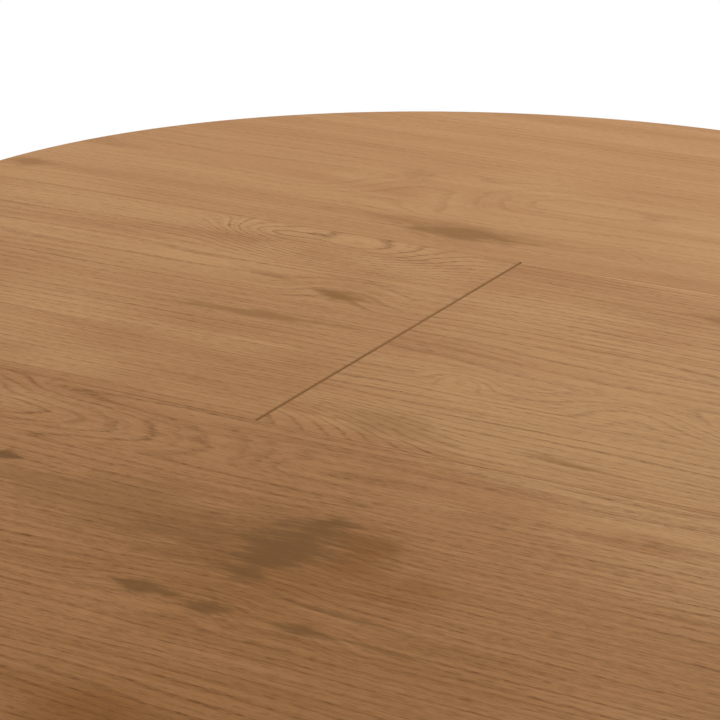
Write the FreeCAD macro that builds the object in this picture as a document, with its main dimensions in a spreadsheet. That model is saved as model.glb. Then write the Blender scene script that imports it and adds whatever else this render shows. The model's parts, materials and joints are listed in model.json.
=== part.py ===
import FreeCAD, Part
import math
import os
import re
import Sketcher

# Round extending table with a folding leaf, shown pulled open with the leaf in place.
# +X is the way the far half pulls out, +Y is to the left of someone at the near end
# who looks along +X, +Z is up. The origin is on the floor below the middle of the leaf.

os.makedirs("parts", exist_ok=True)
doc = FreeCAD.newDocument("ExtendingTable")
sheet = doc.addObject("Spreadsheet::Sheet", "dims")

sizes = {
    # Top
    "table_height": 760,
    "top_radius": 625,
    "top_thick": 25,
    "top_arris": 0.25,
    "rim_flat": 12,
    "rim_bevel": 25,
    "leaf_width": 500,
    "seam_gap": 0.3,
    "slit_gap": 2.2,
    # One overrun serves all cuts
    "overrun": 5,
    # Slide channels and rails
    "channel_y": 400,
    "channel_drop": 2,
    "channel_high": 30,
    "channel_wall": 3,
    "cap_thick": 3,
    "stem_wide": 9,
    "flange_wide": 16,
    "flange_high": 13,
    "rail_fit": 0.3,
    "rail_inner": 80,
    "rail_outer": 660,
    "rail_step": 1,
    "release_travel": 60,
    "stop_x": 200,
    "stop_radius": 3,
    "stop_rise": 3.5,
    "groove_deep": 4,
    # Rack and pinion
    "gear_module": 1.5,
    "pinion_teeth": 12,
    "pressure_angle": 20,
    "tooth_rise": 1,
    "tooth_root": 1.25,
    "gear_backlash": 0.2,
    "rack_high": 7,
    "rack_back": 2.2,
    "rack_sink": 1.5,
    "spare_teeth": 3,
    "pocket_fit": 0.8,
    "axle_radius": 2.5,
    "axle_foot": 14,
    "running_fit": 0.05,
    # Aprons, legs and their fixings
    "apron_thick": 22,
    "side_tenon": 15,
    "end_apron_gap": 0.6,
    "end_apron_rise": 28,
    "leg_x": 395,
    "leg_radius": 35,
    "leg_foot_radius": 19,
    "leg_foot_bevel": 2,
    "glide_radius": 16,
    "glide_high": 5,
    "block_thick": 40,
    "block_down": 8,
    "bolt_radius": 4,
    "bolt_in_leg": 24,
    "bolt_show": 9,
    "nut_radius": 8,
    "nut_high": 6.5,
    # Cross beams and pivot plates
    "beam_inset": 111.7,
    "beam_wide": 40,
    "beam_high": 40,
    "beam_housing": 6,
    "plate_thick": 3,
    "plate_end": 20,
    "plate_rise": 8,
    "pivot_rise": 15.1,
    "side_gap": 0.5,
    # Leaf linkage
    "arm_thick": 5,
    "arm_half": 9,
    "arm_start_angle": 150,
    "arm_end_angle": 5,
    "main_pivot_out": 300,
    "pivot_spacing": 185,
    "pivot_drop": 18,
    "pin_radius": 4,
    "pin_head_radius": 6,
    "pin_head_high": 2.3,
    "idle_fit": 0.3,
    "carrier_outer": 360,
    "carrier_inner": 40,
    "carrier_thick": 3,
    "carrier_flange": 22,
    "carrier_web": 24,
    # Screws
    "screw_radius": 2,
    "screw_head_radius": 4,
    "screw_head_high": 2.5,
    "screw_bite": 14,
    "bore_fit": 0.4,
    # Pads below the leaf
    "pad_long": 60,
    "pad_wide": 12,
    "pad_gap": 0.1,
    "pad_x": 120,
    # Concealed hinges in the slit
    "hinge_lift": 0.3,
    "hinge_inset": 69.7,
    "barrel_radius": 7,
    "barrel_long": 18,
    "barrel_drop": 10,
    "tongue_reach": 12,
    "tongue_wide": 6,
    "tongue_top": 4.2,
    "tongue_thick": 5,
    "tongue_fit": 0.4,
}
for row, (alias, size) in enumerate(sizes.items(), start=1):
    sheet.set(f"A{row}", alias)
    sheet.set(f"B{row}", str(size))
    sheet.setAlias(f"B{row}", alias)
doc.recompute()

# Places worked out from the sizes above; each may use the ones before it.
places = {
    "top_under": "table_height - top_thick",
    "seam_x": "leaf_width / 2",
    "leaf_edge": "seam_x - seam_gap",
    "slit_half": "slit_gap / 2",
    "channel_top": "top_under - channel_drop",
    "channel_bottom": "channel_top - channel_high",
    "lane_floor": "channel_bottom + channel_wall",
    "flange_bottom": "lane_floor + rail_fit",
    "flange_top": "flange_bottom + flange_high",
    "lip_under": "flange_top + rail_fit",
    "pitch_radius": "gear_module * pinion_teeth / 2",
    "lane_offset": "pitch_radius - tooth_rise + stem_wide / 2",
    "slot_half": "stem_wide / 2 + rail_fit",
    "lane_half": "flange_wide / 2 + rail_fit",
    "channel_half_wide": "lane_offset + lane_half + channel_wall",
    "channel_half": "leg_x + leg_radius",
    "screw_reach": "leg_x - leg_radius - screw_head_radius - channel_wall",
    "channel_inside": "channel_y - channel_half_wide",
    "rack_top": "channel_top - rack_sink",
    "rack_bottom": "rack_top - rack_high",
    "rack_deep": "tooth_rise + tooth_root + rack_back",
    "pocket_floor": "rack_bottom - rail_fit",
    "groove_top": "flange_bottom + groove_deep",
    "pack_shift": "top_radius / 2",
    "arm_length": "pack_shift / (cos(arm_end_angle) - cos(arm_start_angle))",
    "leaf_pivot_z": "top_under - pivot_drop",
    "frame_pivot_z": "leaf_pivot_z - arm_length * sin(arm_start_angle)",
    "apron_top": "channel_bottom",
    "apron_bottom": "frame_pivot_z - pivot_rise",
    "apron_side_y": "channel_y",
    "apron_inside_y": "apron_side_y - apron_thick / 2",
    "apron_inside_x": "leg_x - apron_thick / 2",
    "block_bottom": "apron_bottom + block_down",
    "block_top": "apron_top - block_down",
    "block_mid": "(block_bottom + block_top) / 2",
    "beam_top": "apron_bottom + beam_high",
    "beam_x": "leaf_edge - beam_inset",
    "plate_x": "beam_x + beam_wide",
    "arm_x": "plate_x + plate_thick + side_gap",
    "web_x": "arm_x + arm_thick + side_gap",
    "main_leaf_y": "0 - main_pivot_out",
    "idle_leaf_y": "main_leaf_y + pivot_spacing",
    "main_frame_y": "main_leaf_y - arm_length * cos(arm_start_angle)",
    "idle_frame_y": "main_frame_y + pivot_spacing",
    "plate_top": "frame_pivot_z + plate_rise",
    "flange_under": "top_under - carrier_thick",
    "hinge_x": "leaf_edge - hinge_inset",
    "screw_x": "web_x + (carrier_thick + carrier_flange) / 2",
}


def written_out(formula):
    """Replaces the names of places by their formulas, and marks the sheet's own names."""
    def swap(match):
        word = match.group(0)
        if word in places:
            return f"({written_out(places[word])})"
        return f"dims.{word}" if word in sizes else word
    return re.sub(r"[a-z]+(?:_[a-z]+)*", swap, formula)


def number(formula):
    """The value of a formula now, for the few shapes that are made in code."""
    value = sheet.evalExpression(written_out(formula))
    return float(getattr(value, "Value", value))


def bind(item, target, formula):
    item.setExpression(target, written_out(formula))


def put(item, across, along, up):
    """Places an object by three formulas."""
    for axis, formula in zip("xyz", (across, along, up)):
        bind(item, f".Placement.Base.{axis}", formula)
    return item


def label(item, name):
    item.Label = name
    return item


made = []


def finished(item, name):
    """Gives a sub-part its name and puts it on the list of what is written out."""
    made.append(label(item, name))
    return item


def box(name, across, along, up):
    """A block between pairs of formulas for its low and high ends."""
    item = label(doc.addObject("Part::Box", name), name)
    for side, (low, high) in zip(("Length", "Width", "Height"), (across, along, up)):
        bind(item, side, f"({high}) - ({low})")
    return put(item, across[0], along[0], up[0])


turns = {
    "x": FreeCAD.Rotation(FreeCAD.Vector(0, 1, 0), 90),
    "y": FreeCAD.Rotation(FreeCAD.Vector(1, 0, 0), -90),
    "z": FreeCAD.Rotation(),
}


def rod(name, axis, start, radius, length):
    """A round bar that starts at a point and runs along an axis."""
    item = label(doc.addObject("Part::Cylinder", name), name)
    item.Placement.Rotation = turns[axis]
    bind(item, "Radius", radius)
    bind(item, "Height", length)
    return put(item, *start)


def group(name, items):
    item = label(doc.addObject("Part::Compound", name), name)
    item.Links = items
    return item


def fuse(name, items):
    item = label(doc.addObject("Part::MultiFuse", name), name)
    item.Shapes = items
    return item


def cut(name, base, tools):
    """Takes tools away from a base; tools of one cut never meet each other."""
    item = label(doc.addObject("Part::Cut", name), name)
    item.Base = base
    item.Tool = tools[0] if len(tools) == 1 else group(f"{name}_tools", tools)
    return item


def either(sign, low, high):
    """A pair of formulas on the plus side, or its mirror image on the minus side."""
    return (low, high) if sign > 0 else (f"0 - ({high})", f"0 - ({low})")


def outline(body, role, points):
    """A closed polygon on one of a body's own planes, each corner held by two formulas."""
    sketch = body.newObject("Sketcher::SketchObject", f"{body.Name}_outline")
    plane = next(item for item in body.Origin.OriginFeatures if item.Role == role)
    sketch.AttachmentSupport = [(plane, "")]
    sketch.MapMode = "FlatFace"
    count = len(points)
    spots = [FreeCAD.Vector(number(across), number(up), 0) for across, up in points]
    for i in range(count):
        sketch.addGeometry(Part.LineSegment(spots[i], spots[(i + 1) % count]))
    for i in range(count):
        sketch.addConstraint(Sketcher.Constraint("Coincident", i, 2, (i + 1) % count, 1))
    for i, corner in enumerate(points):
        for kind, axis, formula in zip(("DistanceX", "DistanceY"), (-2, -1), corner):
            if formula == "0":
                sketch.addConstraint(Sketcher.Constraint("PointOnObject", i, 1, axis))
                continue
            rule = Sketcher.Constraint(kind, -1, 1, i, 1, number(formula))
            place = sketch.addConstraint(rule)
            bind(sketch, f"Constraints[{place}]", formula)
    return sketch


def padded(name, role, points, length):
    """A body made by padding an outline along its plane's normal."""
    body = label(doc.addObject("PartDesign::Body", name), name)
    sketch = outline(body, role, points)
    pad = body.newObject("PartDesign::Pad", f"{name}_pad")
    pad.Profile = sketch
    bind(pad, "Length", length)
    return body


def turned(name, points, angle):
    """A body made by turning an outline in the XZ plane about Z."""
    body = label(doc.addObject("PartDesign::Body", name), name)
    sketch = outline(body, "XZ_Plane", points)
    turn = body.newObject("PartDesign::Revolution", f"{name}_turn")
    turn.Profile = sketch
    turn.ReferenceAxis = (sketch, ["V_Axis"])
    turn.Angle = angle
    return body


def chamfered(body, size, wanted):
    """Chamfers the edges of a body's last feature whose ends and middle pass a test."""
    doc.recompute()
    last = body.Tip
    names = []
    for i, edge in enumerate(last.Shape.Edges, start=1):
        spots = [vertex.Point for vertex in edge.Vertexes] + [edge.CenterOfMass]
        if all(wanted(spot) for spot in spots):
            names.append(f"Edge{i}")
    chamfer = body.newObject("PartDesign::Chamfer", f"{body.Name}_arris")
    chamfer.Base = (last, names)
    bind(chamfer, "Size", size)
    return body


ends = {"far": 1, "near": -1}
sides = {"left": 1, "right": -1}
near_enough = 1e-6


def level(point_height, formula):
    return abs(point_height - number(formula)) < near_enough


# Half tops: a half disc each, with a square rim band, a bevel below it and a fine arris.
rim = [
    ("top_radius - rim_bevel", "top_under"),
    ("top_radius", "table_height - rim_flat"),
    ("top_radius", "table_height - top_arris"),
    ("top_radius - top_arris", "table_height"),
]


def half_blank(end):
    body = turned(f"half_disc_{end}", [("0", "top_under"), *rim, ("0", "table_height")], 180)
    chamfered(body, "top_arris", lambda spot: level(spot.y, "0") and level(spot.z, "table_height"))
    doc.recompute()
    bulge = 1 if body.Shape.BoundBox.YMax > body.Shape.BoundBox.XMax / 2 else -1
    body.Placement.Rotation = FreeCAD.Rotation(FreeCAD.Vector(0, 0, 1), -90 * bulge * ends[end])
    return put(body, f"{ends[end]} * seam_x", "0", "0")


# Leaf flaps: the same rim along the outer edge, and an arris along the slit and the seams.
def flap_blank(side):
    sign = sides[side]
    points = [("slit_half", "top_under"), *rim,
              ("slit_half + top_arris", "table_height"),
              ("slit_half", "table_height - top_arris")]
    signed = [(f"{sign} * ({across})", up) for across, up in points]
    body = padded(f"flap_blank_{side}", "YZ_Plane", signed, "2 * leaf_edge")

    def at_seam(spot):
        at_end = level(spot.x, "0") or level(spot.x, "2 * leaf_edge")
        return at_end and level(spot.z, "table_height")

    chamfered(body, "top_arris", at_seam)
    return put(body, "0 - leaf_edge", "0", "0")


# Slide channels: one extrusion with two lanes, each an undercut slot.
def channel_section(name, sign_y, start, length):
    lane = ["lane_offset + slot_half", "lane_offset + lane_half",
            "lane_offset - lane_half", "lane_offset - slot_half"]
    heights = ["channel_top", "lip_under", "lip_under", "lane_floor",
               "lane_floor", "lip_under", "lip_under", "channel_top"]
    across = [lane[0], lane[0], lane[1], lane[1], lane[2], lane[2], lane[3], lane[3]]
    outer_lane = list(zip(across, heights))
    inner_lane = [(f"0 - ({spot})", up) for spot, up in reversed(outer_lane)]
    points = [("0 - channel_half_wide", "channel_bottom"), ("channel_half_wide", "channel_bottom"),
              ("channel_half_wide", "channel_top"), *outer_lane, *inner_lane,
              ("0 - channel_half_wide", "channel_top")]
    body = padded(name, "YZ_Plane", points, length)
    return put(body, start, f"{sign_y} * channel_y", "0")


# Upright screw: its head below, its shank upwards.
def upright_screw(name, across, along, seat, tip):
    head = rod(f"{name}_head", "z", (across, along, f"({seat}) - screw_head_high"),
               "screw_head_radius", "screw_head_high")
    shank = rod(f"{name}_shank", "z", (across, along, seat), "screw_radius", f"({tip}) - ({seat})")
    return fuse(name, [head, shank])


# Channel screws run down the middle rib into the aprons, their heads sunk in its top.
channel_screw_shares = (0.12, 0.55, 1)
channel_screws = {}
for side, sign in sides.items():
    along = f"{sign} * channel_y"
    screws = []
    for end, way in ends.items():
        for share in channel_screw_shares:
            across = f"{way * share} * screw_reach"
            name = f"channel_screw_{side}_{end}_{round(share * 100)}"
            head = rod(f"{name}_head", "z", (across, along, "channel_top - screw_head_high"),
                       "screw_head_radius", "screw_head_high")
            shank = rod(f"{name}_shank", "z", (across, along, "channel_bottom - screw_bite * 2"),
                        "screw_radius", "channel_high - screw_head_high + screw_bite * 2")
            screws.append(fuse(name, [head, shank]))
    channel_screws[side] = screws
all_channel_screws = channel_screws["left"] + channel_screws["right"]
finished(group("channel_screws_group", all_channel_screws), "channel_screws")

# Travel stops stand in each lane's floor and run in a groove under each rail.
lane_of_end = {"far": -1, "near": 1}
stops = {}
for side, sign in sides.items():
    stops[side] = []
    for end, way in ends.items():
        along = f"{sign} * (channel_y + {lane_of_end[end]} * lane_offset)"
        stops[side].append(rod(f"stop_{end}_{side}", "z", (f"{way} * stop_x", along, "channel_bottom"),
                               "stop_radius", "channel_wall + rail_fit + stop_rise"))
finished(group("stops_group", stops["left"] + stops["right"]), "travel_stops")

# The pinion sits in a pocket of the left channel's middle rib, on a pin.
pinion_place = ("0", "channel_y")
pinion_pocket = rod("pinion_pocket", "z", (*pinion_place, "pocket_floor"),
                    "pitch_radius + tooth_rise + pocket_fit", "channel_top - pocket_floor + overrun")
axle = rod("axle_pin", "z", (*pinion_place, "pocket_floor - axle_foot"), "axle_radius",
           "axle_foot + rail_fit + rack_high")
finished(axle, "pinion_axle")

for side, sign in sides.items():
    blank = channel_section(f"channel_blank_{side}", sign, "0 - channel_half", "2 * channel_half")
    tools = [*channel_screws[side], *stops[side]]
    if side == "left":
        blank = cut("channel_with_pocket", blank, [pinion_pocket])
        tools.append(axle)
    finished(cut(f"channel_{side}_cut", blank, tools), f"slide_channel_{side}")

caps = []
for side, sign in sides.items():
    for end, way in ends.items():
        start = "channel_half" if way > 0 else "0 - channel_half - cap_thick"
        caps.append(channel_section(f"end_cap_{side}_{end}", sign, start, "cap_thick"))
finished(group("caps_group", caps), "channel_end_caps")

# Racks: straight teeth along a strip that is let into the stem of each left rail.
pitch = math.pi * number("gear_module")
teeth_in = math.ceil(number("release_travel") / pitch) + sizes["spare_teeth"]
teeth_out = math.ceil(number("seam_x") / pitch) + sizes["spare_teeth"]


def rack_shape():
    """The far rack about the pinion's centre: gaps centred on whole pitches, teeth to +Y."""
    lean = math.tan(math.radians(number("pressure_angle")))
    line, rise, root = number("pitch_radius"), number("tooth_rise"), number("tooth_root")
    half = pitch / 4 - number("gear_backlash") / 2
    top_half = half - rise * lean
    root_half = half + root * lean
    back = line + root + number("rack_back")
    corners = []
    for tooth in range(-teeth_in, teeth_out):
        middle = (tooth + 0.5) * pitch
        corners += [(middle - root_half, root), (middle - top_half, -rise),
                    (middle + top_half, -rise), (middle + root_half, root)]
    spots = [(-teeth_in * pitch, back), *[(across, line + deep) for across, deep in corners],
             (teeth_out * pitch, back)]
    start, finish = spots[0], spots[-1]
    spots.insert(1, (start[0], line + root))
    spots.insert(-1, (finish[0], line + root))
    wire = Part.makePolygon([FreeCAD.Vector(across, -deep, 0) for across, deep in spots + spots[:1]])
    return Part.Face(wire).extrude(FreeCAD.Vector(0, 0, number("rack_high")))


for end, way in ends.items():
    rack = doc.addObject("Part::Feature", f"rack_strip_{end}")
    rack.Shape = rack_shape()
    rack.Placement.Rotation = FreeCAD.Rotation(FreeCAD.Vector(0, 0, 1), 0 if way > 0 else 180)
    put(rack, "0", "channel_y", "rack_bottom")
    finished(rack, f"rack_{end}")


def pinion_shape():
    """A spur pinion of stub involute teeth, with a tooth centred on +Y and one on -Y."""
    count = sizes["pinion_teeth"]
    line = number("pitch_radius")
    angle = math.radians(number("pressure_angle"))
    base = line * math.cos(angle)
    outer, root = line + number("tooth_rise"), line - number("tooth_root")
    half = math.pi / count / 2 - number("gear_backlash") / 2 / line

    def spread(radius):
        lean = math.acos(min(1, base / radius))
        return half + math.tan(angle) - angle - (math.tan(lean) - lean)

    flank_start = max(base, root)
    flank_shares = (0, 0.25, 0.5, 0.75, 1)
    flank = [flank_start + (outer - flank_start) * share for share in flank_shares]

    def spot(radius, turn):
        return FreeCAD.Vector(radius * math.cos(turn), radius * math.sin(turn), 0)

    edges = []
    step = 2 * math.pi / count
    for tooth in range(count):
        middle = math.pi / 2 + tooth * step
        rising = [spot(radius, middle - spread(radius)) for radius in flank]
        falling = [spot(radius, middle + spread(radius)) for radius in reversed(flank)]
        foot_in = spot(root, middle - spread(flank_start))
        foot_out = spot(root, middle + spread(flank_start))
        next_foot = spot(root, middle + step - spread(flank_start))
        up_curve, down_curve = Part.BSplineCurve(), Part.BSplineCurve()
        up_curve.interpolate(rising)
        down_curve.interpolate(falling)
        edges += [Part.makeLine(foot_in, rising[0]), up_curve.toShape(),
                  Part.Arc(rising[-1], spot(outer, middle), falling[0]).toShape(),
                  down_curve.toShape(), Part.makeLine(falling[-1], foot_out),
                  Part.Arc(foot_out, spot(root, middle + step / 2), next_foot).toShape()]
    bore = number("axle_radius + running_fit")
    blank = Part.Face(Part.Wire(edges)).extrude(FreeCAD.Vector(0, 0, number("rack_high")))
    return blank.cut(Part.makeCylinder(bore, number("rack_high")))


pinion = doc.addObject("Part::Feature", "pinion_gear")
pinion.Shape = pinion_shape()
put(pinion, *pinion_place, "rack_bottom")
finished(pinion, "pinion")

# Rails: a T bar each, far ones in the inner lanes and near ones in the outer lanes.
rail_screw_shares = (0.54, 0.74, 0.94)
rail_tools = {}
top_screws = {"far": [], "near": []}
for end, way in ends.items():
    for side, sign in sides.items():
        lane = lane_of_end[end]
        along = f"{sign} * (channel_y + {lane} * lane_offset)"
        points = [("0 - flange_wide / 2", "flange_bottom"), ("flange_wide / 2", "flange_bottom"),
                  ("flange_wide / 2", "flange_top"), ("stem_wide / 2", "flange_top"),
                  ("stem_wide / 2", "top_under"), ("0 - stem_wide / 2", "top_under"),
                  ("0 - stem_wide / 2", "flange_top"), ("0 - flange_wide / 2", "flange_top")]
        bar = padded(f"rail_bar_{end}_{side}", "YZ_Plane", points, "rail_inner + rail_outer")
        reach = either(way, "0 - rail_inner", "rail_outer")
        put(bar, reach[0], along, "0")
        wide = (f"{along} - stem_wide / 2 - overrun", f"{along} + stem_wide / 2 + overrun")
        step = box(f"rail_step_{end}_{side}", either(way, "0 - rail_inner - overrun", "seam_x"),
                   wide, ("top_under - rail_step", "top_under + overrun"))
        groove_wide = (f"{along} - stop_radius - rail_fit", f"{along} + stop_radius + rail_fit")
        groove = box(f"rail_groove_{end}_{side}",
                     either(way, "stop_x - release_travel - stop_radius - rail_fit",
                            "stop_x + seam_x + stop_radius + rail_fit"),
                     groove_wide, ("flange_bottom - overrun", "groove_top"))
        bores, screws = [], []
        for share in rail_screw_shares:
            across = f"{way * share} * rail_outer"
            mark = round(share * 100)
            seat = "groove_top + screw_head_high"
            bores.append(rod(f"rail_bore_{end}_{side}_{mark}", "z",
                             (across, along, "flange_bottom - overrun"),
                             "screw_head_radius + bore_fit", f"overrun + {seat} - flange_bottom"))
            screws.append(upright_screw(f"rail_screw_{end}_{side}_{mark}", across, along, seat,
                                        "top_under + screw_bite"))
        top_screws[end] += screws
        bar = cut(f"rail_stepped_{end}_{side}", bar, [step, groove])
        bar = cut(f"rail_bored_{end}_{side}", bar, bores)
        if side == "left":
            face = f"channel_y + {lane} * (pitch_radius - tooth_rise)"
            back = f"channel_y + {lane} * (pitch_radius - tooth_rise + rack_deep)"
            deep = (back, f"{face} + overrun") if lane < 0 else (f"{face} - overrun", back)
            length = either(way, f"0 - {teeth_in} * pi * gear_module", f"{teeth_out} * pi * gear_module")
            rebate = box(f"rack_rebate_{end}", length, deep, ("rack_bottom", "rack_top"))
            bar = cut(f"rail_rebated_{end}", bar, [rebate])
        finished(cut(f"rail_{end}_{side}_cut", bar, screws), f"rail_{end}_{side}")

for end in ends:
    finished(group(f"top_screws_{end}", top_screws[end]), f"rail_screws_{end}")
    finished(cut(f"half_{end}_cut", half_blank(end), top_screws[end]), f"top_{end}")

# Cross beams are housed in the side aprons and carry the pivot plates.
beams = {}
for end, way in ends.items():
    beams[end] = box(f"beam_bar_{end}", either(way, "beam_x", "plate_x"),
                     ("0 - apron_inside_y - beam_housing", "apron_inside_y + beam_housing"),
                     ("apron_bottom", "beam_top"))

plate_screw_shares = (0.08, 0.5, 0.92)
plate_screws = {}
frame_pins = {}
for end, way in ends.items():
    plate_screws[end] = []
    frame_pins[end] = []
    for share in plate_screw_shares:
        along = (f"main_frame_y - plate_end + {share} * (pivot_spacing + 2 * plate_end)")
        up = "(apron_bottom + frame_pivot_z - pin_radius) / 2"
        name = f"plate_screw_{end}_{round(share * 100)}"
        head_x = "plate_x" if way > 0 else "0 - plate_x - plate_thick"
        shank_x = "plate_x - screw_bite" if way > 0 else "0 - plate_x"
        head = rod(f"{name}_head", "x", (head_x, along, up), "screw_head_radius", "plate_thick")
        shank = rod(f"{name}_shank", "x", (shank_x, along, up), "screw_radius", "screw_bite")
        plate_screws[end].append(fuse(name, [head, shank]))
    for which in ("main", "idle"):
        along = f"{which}_frame_y"
        name = f"frame_pin_{which}_{end}"
        low, high = either(way, "plate_x", "web_x")
        shaft = rod(f"{name}_shaft", "x", (low, along, "frame_pivot_z"), "pin_radius",
                    f"({high}) - ({low})")
        low, high = either(way, "web_x - side_gap / 2", "web_x - side_gap / 2 + pin_head_high")
        head = rod(f"{name}_head", "x", (low, along, "frame_pivot_z"), "pin_head_radius",
                   "pin_head_high")
        frame_pins[end].append(fuse(name, [shaft, head]))
finished(group("plate_screws_group", plate_screws["far"] + plate_screws["near"]), "plate_screws")
finished(group("frame_pins_group", frame_pins["far"] + frame_pins["near"]), "frame_pins")

for end, way in ends.items():
    finished(cut(f"beam_{end}_cut", beams[end], plate_screws[end]), f"cross_beam_{end}")
    plate = box(f"plate_{end}", either(way, "plate_x", "plate_x + plate_thick"),
                ("main_frame_y - plate_end", "idle_frame_y + plate_end"),
                ("apron_bottom", "plate_top"))
    finished(cut(f"plate_{end}_cut", plate, [*plate_screws[end], *frame_pins[end]]),
             f"pivot_plate_{end}")

# Aprons: the side ones carry the channels, the end ones rise to just below the top.
side_aprons, end_aprons = {}, {}
for side, sign in sides.items():
    reach = "leg_x - leg_radius + side_tenon"
    blank = box(f"side_board_{side}", (f"0 - ({reach})", reach),
                either(sign, "apron_inside_y", "apron_inside_y + apron_thick"),
                ("apron_bottom", "apron_top"))
    housed = cut(f"side_board_{side}_housed", blank, [beams["far"], beams["near"]])
    side_aprons[side] = finished(cut(f"side_board_{side}_cut", housed, channel_screws[side]),
                                 f"side_apron_{side}")
for end, way in ends.items():
    reach = "channel_inside - end_apron_gap"
    end_aprons[end] = finished(box(f"end_apron_{end}_board",
                                   either(way, "apron_inside_x", "apron_inside_x + apron_thick"),
                                   (f"0 - ({reach})", reach),
                                   ("apron_bottom", "apron_top + end_apron_rise")),
                               f"end_apron_{end}")

# Legs: turned, parallel beside the aprons and tapered below them.
leg_outline = [("0", "glide_high"), ("leg_foot_radius - leg_foot_bevel", "glide_high"),
               ("leg_foot_radius", "glide_high + leg_foot_bevel"), ("leg_radius", "apron_bottom"),
               ("leg_radius", "apron_top"), ("0", "apron_top")]
bolts, nuts = [], []
for end, way in ends.items():
    for side, sign in sides.items():
        across, along = f"{way} * leg_x", f"{sign} * channel_y"
        corner = f"{end}_{side}"
        post = put(turned(f"leg_blank_{corner}", leg_outline, 360), across, along, "0")
        # The bolt runs along the diagonal through the corner block into the leg.
        heading = math.degrees(math.atan2(sign, way))
        turn = FreeCAD.Rotation(FreeCAD.Vector(0, 0, 1), heading) * turns["x"]
        out = "(leg_radius + block_thick + bolt_show) * sqrt(0.5)"
        bolt = rod(f"leg_bolt_{corner}", "x", (f"{across} - {way} * {out}", f"{along} - {sign} * {out}",
                                               "block_mid"), "bolt_radius",
                   "block_thick + bolt_show + bolt_in_leg")
        bolt.Placement.Rotation = turn
        bolts.append(bolt)
        out = "(leg_radius + block_thick + nut_high) * sqrt(0.5)"
        nut = doc.addObject("Part::Prism", f"leg_nut_blank_{corner}")
        nut.Polygon = 6
        bind(nut, "Circumradius", "nut_radius")
        bind(nut, "Height", "nut_high")
        nut.Placement.Rotation = turn
        put(nut, f"{across} - {way} * {out}", f"{along} - {sign} * {out}", "block_mid")
        nuts.append(cut(f"leg_nut_{corner}", nut, [bolt]))
        post = cut(f"leg_bored_{corner}", post, [bolt])
        housed = cut(f"leg_cut_{corner}", post, [side_aprons[side], end_aprons[end]])
        finished(housed, f"leg_{corner}")
        # The block's outer face touches the leg and its ends meet the two aprons.
        touch = "leg_x + channel_y - leg_radius * sqrt(2)"
        inner = "leg_x + channel_y - (leg_radius + block_thick) * sqrt(2)"
        points = [(f"{way} * ({inner} - apron_inside_y)", f"{sign} * (apron_inside_y)"),
                  (f"{way} * ({touch} - apron_inside_y)", f"{sign} * (apron_inside_y)"),
                  (f"{way} * (apron_inside_x)", f"{sign} * ({touch} - apron_inside_x)"),
                  (f"{way} * (apron_inside_x)", f"{sign} * ({inner} - apron_inside_x)")]
        block = padded(f"corner_blank_{corner}", "XY_Plane", points, "block_top - block_bottom")
        put(block, "0", "0", "block_bottom")
        finished(cut(f"corner_{corner}_cut", block, [bolt]), f"corner_block_{corner}")
        glide = rod(f"glide_disc_{corner}", "z", (across, along, "0"), "glide_radius", "glide_high")
        finished(glide, f"glide_{corner}")
finished(group("leg_bolts_group", bolts), "leg_bolts")
finished(group("leg_nuts_group", nuts), "leg_nuts")

# Pads: soft strips on the channels' middle ribs that the leaf rests on.
pads = []
for end, way in ends.items():
    for side, sign in sides.items():
        pads.append(box(f"pad_{end}_{side}", either(way, "pad_x - pad_long / 2", "pad_x + pad_long / 2"),
                        (f"{sign} * channel_y - pad_wide / 2", f"{sign} * channel_y + pad_wide / 2"),
                        ("channel_top", "top_under - pad_gap")))
finished(group("pads_group", pads), "leaf_rest_pads")


# Arms: a flat bar with round ends, made lying along Y from its frame pivot and then tilted.
def arm(which, end, way, leaf_fit):
    name = f"{which}_arm_{end}"
    low = "0" if way > 0 else "0 - arm_thick"
    parts = [rod(f"{name}_foot", "x", (low, "0", "0"), "arm_half", "arm_thick"),
             rod(f"{name}_tip", "x", (low, "arm_length", "0"), "arm_half", "arm_thick"),
             box(f"{name}_bar", (low, f"{low} + arm_thick"), ("0", "arm_length"),
                 ("0 - arm_half", "arm_half"))]
    holes = [rod(f"{name}_foot_hole", "x", (f"{low} - overrun", "0", "0"),
                 "pin_radius + running_fit", "arm_thick + 2 * overrun"),
             rod(f"{name}_tip_hole", "x", (f"{low} - overrun", "arm_length", "0"),
                 f"pin_radius + {leaf_fit}", "arm_thick + 2 * overrun")]
    bar = cut(f"{name}_cut", fuse(f"{name}_blank", parts), holes)
    bar.Placement.Rotation = FreeCAD.Rotation(FreeCAD.Vector(1, 0, 0), number("arm_start_angle"))
    bind(bar, ".Placement.Rotation.Angle", "arm_start_angle")
    put(bar, f"{way} * (arm_x)", f"{which}_frame_y", "frame_pivot_z")
    return finished(bar, name)


for end, way in ends.items():
    arm("main", end, way, "running_fit")
    arm("idle", end, way, "idle_fit")

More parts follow.
